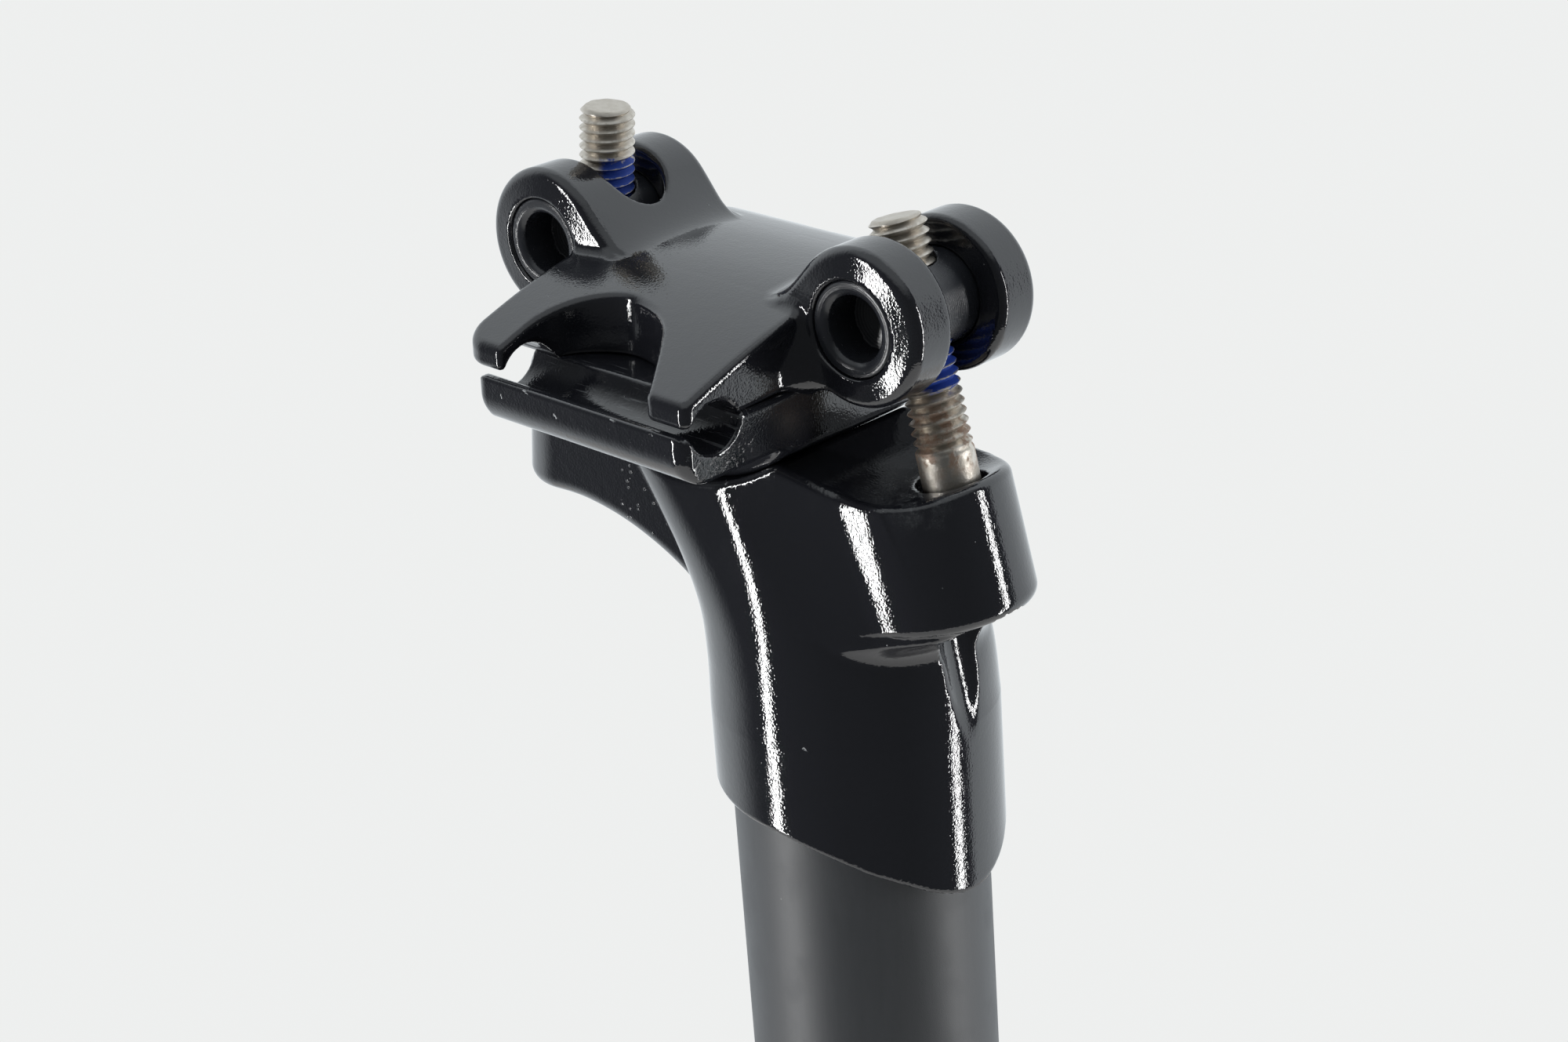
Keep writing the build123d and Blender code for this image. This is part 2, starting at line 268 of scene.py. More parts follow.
def ramp(tree, value, low, high, start=0.0, end=1.0):
    inputs = {0: value, 1: low, 2: high, 3: start, 4: end}
    return addNode(tree, "ShaderNodeMapRange", inputs, interpolation_type="SMOOTHSTEP")[0]


def within(tree, value, low, high, soft, softEnd=None):  # 1 between low and high
    softEnd = softEnd or soft
    return mul(tree, ramp(tree, value, low - soft, low + soft),
               ramp(tree, value, high - softEnd, high + softEnd, 1.0, 0.0))


def split(tree, vector):
    return addNode(tree, "ShaderNodeSeparateXYZ", {0: vector})


def boxMask(tree, vector, spans):  # 1 inside a soft box, each span as low, high, softness
    spot = split(tree, vector)
    return mul(tree, *(within(tree, spot[axis], *span) for axis, span in spans.items()))


def stretch(tree, vector, scale):
    return addNode(tree, "ShaderNodeMapping", {"Vector": vector, "Scale": scale})["Vector"]


def mixColour(tree, mask, a, b):
    return addNode(tree, "ShaderNodeMix", {0: mask, 6: a, 7: b}, data_type="RGBA")[2]


def noise(tree, vector, scale, detail=2.0, rough=0.5):
    inputs = {"Vector": vector, "Scale": scale, "Detail": detail, "Roughness": rough}
    return addNode(tree, "ShaderNodeTexNoise", inputs)["Fac"]


socketKinds = {tuple: "NodeSocketVector", float: "NodeSocketFloat", int: "NodeSocketInt"}


def startTree(name, kind, inputs, label, outKind):
    tree = bpy.data.node_groups.new(name, kind)
    for key, value in inputs.items():
        bare = isinstance(value, str)  # a kind of socket that starts empty
        socketKind = value if bare else socketKinds[type(value)]
        socket = tree.interface.new_socket(name=key, in_out="INPUT", socket_type=socketKind)
        if not bare:
            socket.default_value = value
    tree.interface.new_socket(name=label, in_out="OUTPUT", socket_type=outKind)
    return tree, addNode(tree, "NodeGroupInput"), tree.nodes.new("NodeGroupOutput").inputs[0]


def startGroup(name, label, inputs):  # shader group on a vector, with one value out
    return startTree(name, "ShaderNodeTree", {"Vector": (0, 0, 0), **inputs}, label, "NodeSocketFloat")


def useGroup(tree, group, vector, values):
    return addNode(tree, "ShaderNodeGroup", {"Vector": vector, **values}, node_tree=group)[0]


# paint ripple, from the drying of the lacquer
def makeRipple():
    tree, take, give = startGroup("lacquerRipple", "Height", {"Scale": 2.0, "Fine": 0.3})
    coarse = noise(tree, take["Vector"], take["Scale"], 1.0)
    fine = noise(tree, take["Vector"], mul(tree, take["Scale"], 4.3), 1.0)
    plug(tree, give, mulAdd(tree, fine, take["Fine"], coarse))
    return tree


# specks of dust, a few cells of a Voronoi pattern
def makeSpecks():
    tree, take, give = startGroup("dustSpecks", "Mask", {"Scale": 1.0, "Amount": 0.2, "Size": 0.1})
    inputs = {"Vector": take["Vector"], "Scale": take["Scale"]}
    cells = addNode(tree, "ShaderNodeTexVoronoi", inputs, feature="F1")
    pick = addNode(tree, "ShaderNodeSeparateColor", {0: cells["Color"]})
    chosen = calc(tree, "LESS_THAN", pick[0], take["Amount"])
    reach = mul(tree, take["Size"], add(tree, pick[1], 0.3))
    near = ramp(tree, cells["Distance"], mul(tree, reach, 0.5), reach, 1.0, 0.0)
    plug(tree, give, mul(tree, near, chosen))
    return tree


# a scratch or nick along a straight run between two points
def makeScratch():
    tree, take, give = startGroup("scratchLine", "Mask", {
        "From": (0, 0, 0), "To": (1, 0, 0), "Width": 0.1, "Ragged": 0.5})
    wander = addNode(tree, "ShaderNodeTexNoise", {"Vector": take["Vector"], "Scale": 3.0})["Color"]
    shift = vecCalc(tree, "SUBTRACT", wander, (0.5, 0.5, 0.5))
    spot = vecCalc(tree, "MULTIPLY_ADD", shift, (0.3, 0.3, 0.3), take["Vector"])
    fromStart = vecCalc(tree, "SUBTRACT", spot, take["From"])
    run = vecCalc(tree, "SUBTRACT", take["To"], take["From"])
    share = calc(tree, "DIVIDE", vecCalc(tree, "DOT_PRODUCT", fromStart, run),
                 vecCalc(tree, "DOT_PRODUCT", run, run), clamp=True)
    nearest = vecCalc(tree, "SCALE", run, scale=share)
    away = vecCalc(tree, "LENGTH", vecCalc(tree, "SUBTRACT", fromStart, nearest))
    grit = sub(tree, noise(tree, take["Vector"], 9.0), 0.5)
    width = mul(tree, take["Width"], mulAdd(tree, grit, mul(tree, take["Ragged"], 4.0), 1.0))
    plug(tree, give, ramp(tree, away, mul(tree, width, 0.5), width, 1.0, 0.0))
    return tree


# broken patches, for rubbed, dirty or rusty places
def makePatches():
    tree, take, give = startGroup("rubbedPatches", "Mask", {"Scale": 1.0, "Spread": 0.5})
    broad = noise(tree, take["Vector"], take["Scale"], 4.0, 0.6)
    edge = sub(tree, 1.0, take["Spread"])
    plug(tree, give, ramp(tree, broad, sub(tree, edge, 0.08), add(tree, edge, 0.08)))
    return tree


rippleGroup, specksGroup, scratchGroup, patchGroup = makeRipple(), makeSpecks(), makeScratch(), makePatches()
print("shader groups built")


def startMaterial(name, place=None):
    material = bpy.data.materials.new(name)
    material.use_nodes = True
    tree = material.node_tree
    inputs = {"Vector": addNode(tree, "ShaderNodeTexCoord")["Object"], "Scale": (mm, mm, mm)}
    if place:
        inputs["Location"] = tuple(c * mm for c in place[0])
        inputs["Rotation"] = (0, math.radians(place[1]), 0)
    local = addNode(tree, "ShaderNodeMapping", inputs, vector_type="TEXTURE")["Vector"]
    return material, tree, local  # local is in millimetres


def dress(tree, values, relief=None, depth=None):  # values for the shader's own sockets, then its bump
    shader = tree.nodes["Principled BSDF"].inputs
    for key, value in values.items():
        plug(tree, shader[key], value)
    if relief is not None:
        bump = addNode(tree, "ShaderNodeBump", {"Strength": 1.0, "Distance": depth, "Height": relief})
        plug(tree, shader["Normal"], bump["Normal"])


paint = {
    "colour": (0.0160, 0.0168, 0.0212, 1),
    "nickColour": (0.42, 0.44, 0.45, 1), "dustColour": (0.30, 0.31, 0.32, 1),
    "gloss": 0.045, "hazy": 0.025, "dusty": 0.5, "nicked": 0.55, "ior": 1.74,
    "peel": {"Scale": 0.95, "Fine": 1.3}, "haze": {"Scale": 0.22, "Spread": 0.45},
    "dust": {"Scale": 0.75, "Amount": 0.16, "Size": 0.055},
    "ripple": 0.0000120, "dustRise": 1.5, "nickRise": -3.0,  # rises are shares of the ripple
}


def makePaint(name, place, nicks, extra):
    material, tree, local = startMaterial(name, place)
    peel = useGroup(tree, rippleGroup, local, paint["peel"])
    dust = useGroup(tree, specksGroup, local, paint["dust"])
    haze = useGroup(tree, patchGroup, local, paint["haze"])
    marks, relief = extra(tree, local)  # what only this piece shows
    for start, end, width, ragged in nicks:
        nick = useGroup(tree, scratchGroup, local, {"From": start, "To": end, "Width": width, "Ragged": ragged})
        marks = larger(tree, marks, nick)
    dusty = mixColour(tree, dust, paint["colour"], paint["dustColour"])
    rough = larger(tree, mulAdd(tree, haze, paint["hazy"], paint["gloss"]), mul(tree, dust, paint["dusty"]))
    height = add(tree, mulAdd(tree, dust, paint["dustRise"], peel), relief)
    dress(tree, {"Base Color": mixColour(tree, marks, dusty, paint["nickColour"]),
                 "Roughness": larger(tree, rough, mul(tree, marks, paint["nicked"])),
                 "IOR": paint["ior"]}, mulAdd(tree, marks, paint["nickRise"], height), paint["ripple"])
    return material


# head casting: sleeve, neck, front lobe, rear ear and rocker seat in one piece
headShape = {
    # height, middle of the round back, middle of the oval front, its reach, half width
    "neck": [(306, 0, 0, 15.7, 15.2), (312, -0.29, -0.1, 15.25, 14.9), (317, -1.53, -0.4, 14.4, 14.4),
             (322, -4.41, -1.7, 13.75, 13.75), (327, -8.34, -3.87, 13.15, 13.15),
             (332, -12.6, -6.54, 12.6, 12.6), (338, -17.5, -9.86, 12.1, 12.1), (343, -21.1, -12.3, 11.8, 11.8)],
    "rim": [(-20, 297.6), (-4.2, 296.6), (3.5, 295.4), (10, 292.3), (13.9, 289.1), (15.6, 286.6),
            (16.8, 283.5)],
    "earUnder": [(-48.2, 323.6), (-39, 323.7), (-30.2, 323.5), (-22.1, 321.3), (-16.6, 318.5), (-10, 313.2)],
    "lobe": {"reach": 8.75, "half": 9.4, "back": 3.53, "flank": (5.6, 1.0), "soft": 1.0, "lean": 0.035,
             "top": -18.2, "dish": 0.1, "low": -31.9, "edge": 1.6, "topEdge": 1.0,
             "near": 6.0, "swing": (0.05, 0.85), "overlap": 0.3, "deepest": -8.0},
    "blend": {"least": 0.001, "most": 9.0, "from": -11.0, "rise": 0.8, "over": (-0.5, 2.0)},  # lobe into neck
    "ear": {"radius": 8.26, "top": -15.5, "front": -10, "end": 24, "edge": 2.0, "crease": 0.6},
    "ridge": {"x": 0.8, "z": 335.13, "run": (3.36, 11.43), "length": 11.91, "blend": 2.5},
    "seat": 19.75, "socket": (13.8, 307.5), "boltHole": 3.6, "headBore": 4.5, "keyWay": 4.3,
    "cup": 7.25, "frontCup": -30.97, "rearCup": -26.77, "taper": (-14.0, -9.0), "deepest": -10.0,
    "edges": {"seat": 0.75, "rim": 0.7, "socket": 0.25, "hole": 0.2, "cup": 0.3, "keyWay": 0.5},
    "box": ((-44.6, -16.0, 282.6), (24.0, 16.0, 340.0)), "step": 0.36,
}


def fromMid(x, z, mid, axis):  # how far along an axis of the middle plane
    return (x - mid[0]) * axis[0] + (z - mid[2]) * axis[2]


def underCurve(x, z, knots):  # distance below a curve of heights along x
    knotsX, knotsZ = np.array(knots, float).T
    lean = (easeCurve(x + 0.05, knotsX, knotsZ) - easeCurve(x - 0.05, knotsX, knotsZ)) / 0.1
    return (easeCurve(x, knotsX, knotsZ) - z) / np.hypot(1, lean)


def headField(x, y, z):
    s, edges = headShape, headShape["edges"]
    lobe, blend, ear, ridge = s["lobe"], s["blend"], s["ear"], s["ridge"]
    across = np.abs(y)
    u, along = fromMid(x, z, frontMid, frontX), fromMid(x, z, frontMid, frontZ)
    v, behind = fromMid(x, z, rearMid, rearX), fromMid(x, z, rearMid, rearZ)

    heights, backs, fronts, longs, wides = np.array(s["neck"], float).T
    a, b = easeCurve(z, heights, longs), easeCurve(z, heights, wides)
    rearward, forward = x - easeCurve(z, heights, backs), x - easeCurve(z, heights, fronts)
    flank = np.where(rearward < 0, np.hypot(rearward, y), across) - b
    body = np.maximum(np.where(forward > 0, ovalField(forward, y, a, b), flank), s["deepest"])

    # oval nose, with flanks that swing in from the neck
    up = along - lobe["low"]
    back = u + lobe["back"] + lobe["lean"] * up
    reach = np.maximum(forward - back, lobe["near"])  # from the middle of the neck to the middle of the lobe
    height = np.clip(up / (lobe["top"] - lobe["low"]), 0, 1)
    swing = np.arcsin(np.clip((b - lobe["half"]) / reach, *lobe["swing"]))
    swing = swing + np.radians(lobe["flank"][0] + (lobe["flank"][1] - lobe["flank"][0]) * height)
    side = forward * np.sin(swing) + across * np.cos(swing) - b
    side = np.maximum(side, back - lobe["half"] * np.sin(swing))
    side = np.maximum(side, across * np.sin(swing) - forward * np.cos(swing) - lobe["overlap"])
    oval = np.maximum(ovalField(back, y, lobe["reach"], lobe["half"]), lobe["deepest"])
    nose = keepRound(joinSoft(side, oval, lobe["soft"]), -up, lobe["edge"])
    below = 1 - easeStep(along, *(lobe["low"] + h for h in blend["over"]))
    wide = np.clip((u - blend["from"]) * blend["rise"], 0, blend["most"]) * below + blend["least"]
    body = joinRound(body, nose, wide)

    arm = np.where(v < 0, np.hypot(v, y), across) - ear["radius"]
    arm = keepRound(arm, underCurve(x, z, s["earUnder"]), ear["edge"])
    body = joinRound(body, np.maximum(arm, v - ear["end"]), ear["crease"])

    slope = ((x - ridge["x"]) * ridge["run"][0] + (z - ridge["z"]) * ridge["run"][1]) / ridge["length"]
    dished = (along - lobe["top"] - lobe["dish"] * u) / math.hypot(1, lobe["dish"])
    top = np.where(x < ear["front"], behind - ear["top"], joinRound(slope, dished, ridge["blend"]))
    body = keepRound(body, top, lobe["topEdge"])
    body = cutRound(body, np.hypot(x - rockerMid[0], z - rockerMid[2]) - s["seat"], edges["seat"])
    body = keepRound(body, underCurve(x, z, s["rim"]), edges["rim"])
    body = cutRound(body, np.maximum(np.hypot(x, y) - s["socket"][0], z - s["socket"][1]), edges["socket"])
    for r, t, cup in ((np.hypot(u, y), along, s["frontCup"]), (np.hypot(v, y), behind, s["rearCup"])):
        body = cutRound(body, r - s["boltHole"], edges["hole"])
        dome = np.where(t > cup, np.hypot(r, t - cup), 0) - s["cup"]
        wall = s["keyWay"] + (s["headBore"] - s["keyWay"]) * easeStep(t, *(cup + h for h in s["taper"]))
        body = cutRound(body, np.maximum(r - wall, dome), edges["cup"])
    groove = np.maximum(np.hypot(u, y) - s["keyWay"], along - lobe["low"])
    return cutRound(body, groove, edges["keyWay"])


headNicks = [
    ((13.5, -6.95, 304.0), (13.85, -6.3, 303.4), 0.07, 0.5),  # scratch on the front of the sleeve
    ((13.85, -6.3, 303.4), (14.15, -5.6, 303.6), 0.05, 0.6),
    ((14.15, -5.6, 303.6), (14.6, -4.2, 303.1), 0.06, 0.6),
    ((14.4, -5.0, 309.6), (14.5, -4.6, 309.3), 0.05, 0.5),
    ((14.5, 4.5, 304.0), (14.1, 5.8, 302.6), 0.04, 0.5),
    ((5.5, -14.2, 306.5), (5.9, -14.0, 306.2), 0.10, 0.7),
]


def headDirt(tree, local):  # dust caught round the front bolt, bubbles in the crease under the ear
    valley = boxMask(tree, local, {"X": (9.0, 17.5, 2.0), "Y": (-7.5, 3.0, 2.0), "Z": (330.5, 336.0, 1.0)})
    smear = useGroup(tree, patchGroup, local, {"Scale": 0.55, "Spread": 0.5})
    grit = useGroup(tree, patchGroup, local, {"Scale": 2.6, "Spread": 0.45})
    crease = boxMask(tree, local, {"X": (-24.5, -17.0, 1.5), "Y": (-9.6, -7.6, 0.3), "Z": (321.0, 334.0, 2.0)})
    bubbles = useGroup(tree, specksGroup, local, {"Scale": 1.6, "Amount": 0.35, "Size": 0.30})
    return mul(tree, valley, smear, mulAdd(tree, grit, 0.16, 0.08)), mul(tree, bubbles, crease, 2.5)


headPaint = makePaint("headPaint", None, headNicks, headDirt)
headPiece = addPiece(skinField("headCasting", headField, headShape, headFrame), headPaint)
settle(headPiece, "head")


# lower cradle: two rail grooves, a hump between them, lips outside, round rocker below
cradleShape = {
    "rear": -13.6, "front": 15.2, "half": 26.6, "floor": -6.2, "lipRound": 3.4, "lipEdge": 0.3,
    "hump": -0.5, "lip": -0.85, "rail": (22.0, 3.5), "railEdge": 0.35,
    "rocker": 19.7, "core": 10.8, "coreEdge": 0.8, "coreTop": -4, "blend": 2.5,
    "endEdge": 0.6, "corner": 1.5, "cornerFrom": (24.5, 26.0),
    "box": ((-14.4, -27.4, -14.0), (16.0, 27.4, 0.4)), "step": 0.33,
}


def pastEnds(x, s):
    return np.abs(x - (s["front"] + s["rear"]) / 2) - (s["front"] - s["rear"]) / 2


def cradleField(x, y, z):
    s = cradleShape
    across = np.abs(y)
    top = z - np.where(across < s["rail"][0], s["hump"], s["lip"])
    wing = keepRound(top, across - s["half"], s["lipEdge"])
    wing = keepRound(wing, s["floor"] - z, s["lipRound"])
    drum = np.hypot(x, z - layout["nutRise"]) - s["rocker"]
    drum = np.maximum(keepRound(drum, across - s["core"], s["coreEdge"]), z - s["coreTop"])
    edge = s["endEdge"] + (s["corner"] - s["endEdge"]) * easeStep(across, *s["cornerFrom"])
    body = keepRound(joinRound(wing, drum, s["blend"]), pastEnds(x, s), edge)
    return cutRound(body, np.hypot(across - s["rail"][0], z) - s["rail"][1], s["railEdge"])


def grooveRub(tree, local):  # rails have rubbed the grooves along their length
    streaks = useGroup(tree, patchGroup, stretch(tree, local, (0.18, 2.2, 2.2)), {"Scale": 1.0, "Spread": 0.36})
    spot = split(tree, local)
    fromRail = calc(tree, "ABSOLUTE", sub(tree, calc(tree, "ABSOLUTE", spot["Y"]), 21.0))
    inGroove = ramp(tree, fromRail, 3.2, 5.5, 1.0, 0.0)
    facingUp = ramp(tree, spot["Z"], -3.8, -3.0)
    return mul(tree, streaks, inGroove, facingUp, 0.30), mul(tree, streaks, inGroove, 0.8)


cradleNicks = [
    ((-6.5, -26.5, -1.0), (-5.9, -26.5, -1.2), 0.12, 0.8),  # nicks along the near lip
    ((-2.2, -26.6, -2.4), (-1.9, -26.6, -2.7), 0.10, 0.8),
    ((5.6, -26.5, -1.0), (6.1, -26.5, -1.1), 0.10, 0.8),
    ((-9.8, -26.6, -2.2), (-9.7, -26.6, -2.5), 0.09, 0.8),
    ((11.0, -26.5, -1.1), (11.4, -26.5, -1.2), 0.08, 0.8),
    ((15.1, -18.6, -0.9), (15.1, -19.2, -2.0), 0.10, 0.9),
]
cradlePaint = makePaint("cradlePaint", (clampMid, layout["clampTurn"]), cradleNicks, grooveRub)
cradlePiece = addPiece(skinField("railCradle", cradleField, cradleShape, clampFrame), cradlePaint)
settle(cradlePiece, "lower_cradle")


# upper clamp: crowned plate with four arms over the rails and two forked bosses
clampShape = {
    "crown": 7.9, "arc": 75.0, "rear": -16.3, "front": 15.0, "half": 25.9, "low": 0.3, "under": (18.8, -0.2),
    "underEdge": 0.6, "endEdge": 0.8, "corners": (3.2, 1.0), "farSag": 1.7, "sagSpan": (11.0, 25.0),
    "droop": 1.1, "droopSpan": (3.0, 27.0), "underShare": (0.5, 0.6),  # shares of sag and droop
    "groove": (22.0, -1.9, 3.5), "grooveShare": 0.6, "grooveEdge": 0.4,
    "notchRear": -10.3, "notchRoot": 14.1, "notchCorner": 8.2, "notchBend": 4.0, "notchEdge": 0.7,
    "notchFront": [(1.4, 14.1), (7.5, 20.2), (10.3, 25.9)],
    "boss": (8.0, 9.6), "slab": 14.0, "face": 0.14, "bossEdge": 1.0, "bossBlend": 4.5,
    "bossFoot": (0.001, 1.2, 3.0),
    "fork": (17.8, 3.8), "forkEdge": 0.8, "bore": 4.9, "boreEdge": 0.35,
    "box": ((-30.0, -27.5, -2.2), (30.0, 27.5, 15.6)), "step": 0.362,
}


def clampField(x, y, z):
    s = clampShape
    along, across = np.abs(x), np.abs(y)
    sag = s["farSag"] * easeStep(y, *s["sagSpan"])  # loose without its rails, so the far arms sit lower
    droop = s["droop"] * easeStep(across, *s["droopSpan"])
    crown = np.hypot(y, z + sag + droop + s["arc"] - s["crown"]) - s["arc"]
    under = np.where(across < s["under"][0], s["under"][1], s["low"])
    under = under - s["underShare"][0] * sag - s["underShare"][1] * droop
    plate = keepRound(crown, under - z, s["underEdge"])
    outline = keepRound(pastEnds(x, s), across - s["half"], np.where(x < 0, *s["corners"]))
    plate = keepRound(plate, outline, s["endEdge"])
    railY, railZ, rail = s["groove"]
    fromRail = np.hypot(across - railY, z + s["grooveShare"] * sag - railZ)
    plate = cutRound(plate, fromRail - rail, s["grooveEdge"])

    notch = keepRound(s["notchRear"] - x, s["notchRoot"] - across, s["notchCorner"])
    slants = []
    for (fromX, fromY), (toX, toY) in zip(s["notchFront"], s["notchFront"][1:]):
        runX, runY = toX - fromX, toY - fromY
        slants.append(((x - fromX) * runY - (across - fromY) * runX) / math.hypot(runX, runY))
    notch = keepRound(notch, keepRound(slants[0], slants[1], s["notchBend"]), s["notchBend"])
    plate = cutRound(plate, notch, s["notchEdge"])

    fromNut = np.hypot(along - layout["nutSpan"] / 2, z - layout["nutRise"])
    slab = np.maximum(np.maximum(crown, along - s["slab"]), s["low"] - z)
    boss = joinRound(fromNut - s["boss"][0], slab, s["bossBlend"])
    face = (across - s["boss"][1] + s["face"] * np.clip(fromNut - 5.0, 0, 4)) / math.hypot(1, s["face"])
    least, high, low = s["bossFoot"]  # blend of the boss into the plate, wider low down
    foot = high * easeStep(across, 8.0, 9.4) * (1 - easeStep(fromNut, 9.5, 13.0)) + least
    foot = foot + low * easeStep(across, 7.0, 9.0) * (1 - easeStep(z, 2.0, 6.0))
    body = joinRound(plate, keepRound(boss, face, s["bossEdge"]), foot)
    root, wide = s["fork"]
    body = cutRound(body, np.where(along > root, across, np.hypot(along - root, y)) - wide, s["forkEdge"])
    return cutRound(body, fromNut - s["bore"], s["boreEdge"])


clampNicks = [
    ((-15.4, -26.3, 3.2), (-15.2, -26.4, 2.6), 0.10, 0.8),
    ((14.9, -26.4, 3.6), (15.2, -26.3, 3.2), 0.09, 0.8),
    ((24.0, -9.4, 13.2), (24.3, -9.2, 13.0), 0.06, 0.6),
    ((26.8, 8.0, 11.5), (26.9, 8.3, 11.4), 0.08, 0.6),
    ((28.3, 6.8, 8.0), (28.4, 6.9, 7.8), 0.07, 0.6),
]


def notchCut(tree, local):  # cutter marks run up and down the walls of the notches
    upright = stretch(tree, local, (3.2, 3.2, 0.18))
    lines = noise(tree, upright, 1.0, 3.0, 0.6)
    worn = useGroup(tree, patchGroup, upright, {"Scale": 1.3, "Spread": 0.3})
    spot = split(tree, local)
    bothSides = addNode(tree, "ShaderNodeCombineXYZ", {
        "X": spot["X"], "Y": calc(tree, "ABSOLUTE", spot["Y"]), "Z": spot["Z"]})[0]
    wall = boxMask(tree, bothSides, {"X": (-11.0, 9.0, 1.0), "Y": (13.6, 23.0, 0.3), "Z": (-2.0, 5.2, 0.8)})
    return mul(tree, wall, worn, 0.03), mul(tree, wall, lines)


clampPaint = makePaint("clampPaint", (clampMid, layout["clampTurn"]), clampNicks, notchCut)
clampPiece = addPiece(skinField("railClamp", clampField, clampShape, clampFrame), clampPaint)
settle(clampPiece, "upper_clamp")


# barrel nuts, hollow at both ends
nutShape = {
    "radius": 4.85, "half": 9.35, "edge": 0.35, "hollow": 3.35, "hollowEdge": 0.3, "mouth": 0.5, "deep": 4.4,
    "cone": 0.35, "coneScale": 0.94, "cross": 3.0, "crossEdge": 0.2,
    "box": ((-5.4, -9.7, -5.4), (5.4, 9.7, 5.4)), "step": 0.24,
    "colour": (0.028, 0.030, 0.036, 1), "bare": (0.12, 0.13, 0.14, 1),
    "gloss": 0.22, "rubbed": 0.10, "ior": 1.6, "turning": 34.0, "relief": 0.000006,
}


def nutField(x, y, z):
    s = nutShape
    across = np.abs(y)
    r = np.hypot(x, z)
    body = keepRound(r - s["radius"], across - s["half"], s["edge"])
    floor = s["half"] - s["deep"] - s["cone"] * (s["hollow"] - r)  # drilled, so a shallow cone
    mouth = s["hollow"] + np.clip(across - s["half"] + s["mouth"], 0, 1)  # countersunk
    body = cutRound(body, np.maximum(r - mouth, (floor - across) * s["coneScale"]), s["hollowEdge"])
    return cutRound(body, np.hypot(x, y) - s["cross"], s["crossEdge"])


def makeNutFinish(name, place):
    material, tree, local = startMaterial(name, place)
    spot = split(tree, local)
    r = lengthOf(tree, spot["X"], spot["Z"])
    turning = calc(tree, "SINE", mul(tree, add(tree, r, spot["Y"]), nutShape["turning"]))
    peel = useGroup(tree, rippleGroup, local, {"Scale": 3.0, "Fine": 0.6})
    rubbed = useGroup(tree, patchGroup, local, {"Scale": 1.4, "Spread": 0.34})
    dust = useGroup(tree, specksGroup, local, {"Scale": 1.1, "Amount": 0.2, "Size": 0.08})
    atEnd = ramp(tree, calc(tree, "ABSOLUTE", spot["Y"]), 8.8, 9.1)
    bare = mul(tree, rubbed, ramp(tree, r, 3.6, 3.9), atEnd, 0.2)  # on the end rings
    base = mixColour(tree, bare, nutShape["colour"], nutShape["bare"])
    dress(tree, {"Base Color": mixColour(tree, dust, base, paint["dustColour"]),
                 "Roughness": mulAdd(tree, rubbed, nutShape["rubbed"], nutShape["gloss"]),
                 "IOR": nutShape["ior"]}, mulAdd(tree, turning, 0.5, peel), nutShape["relief"])
    return material


for node, name, mid, axes, turn in (("front_nut", "frontNut", frontMid, (frontX, frontZ), layout["frontTurn"]),
                                    ("rear_nut", "rearNut", rearMid, (rearX, rearZ), layout["rearTurn"])):
    nutMesh = skinField(name + "Barrel", nutField, nutShape, (mid, *axes))
    settle(addPiece(nutMesh, makeNutFinish(name + "Black", (mid, turn))), node)


# bolts: helical thread grown by Geometry Nodes, head with hex socket below
boltShape = {
    "length": 35.0, "radius": 2.95, "pitch": 1.0, "depth": 0.56, "plain": 11.2, "tip": 0.62, "around": 40,
    "perTurn": 8, "headAround": 72, "headRadius": 4.1, "headHeight": 4.8, "hexHalf": 2.0, "hexDeep": 2.8,
}


def startShape(name, inputs):  # geometry tree that ends in one finish
    inputs = {"Geometry": "NodeSocketGeometry", **inputs, "Finish": "NodeSocketMaterial"}
    return startTree(name, "GeometryNodeTree", inputs, "Geometry", "NodeSocketGeometry")


def endShape(tree, geometry, finish, give):
    real = addNode(tree, "GeometryNodeRealizeInstances", {0: geometry})[0]
    plug(tree, give, addNode(tree, "GeometryNodeSetMaterial", {"Geometry": real, "Material": finish})[0])
    return tree


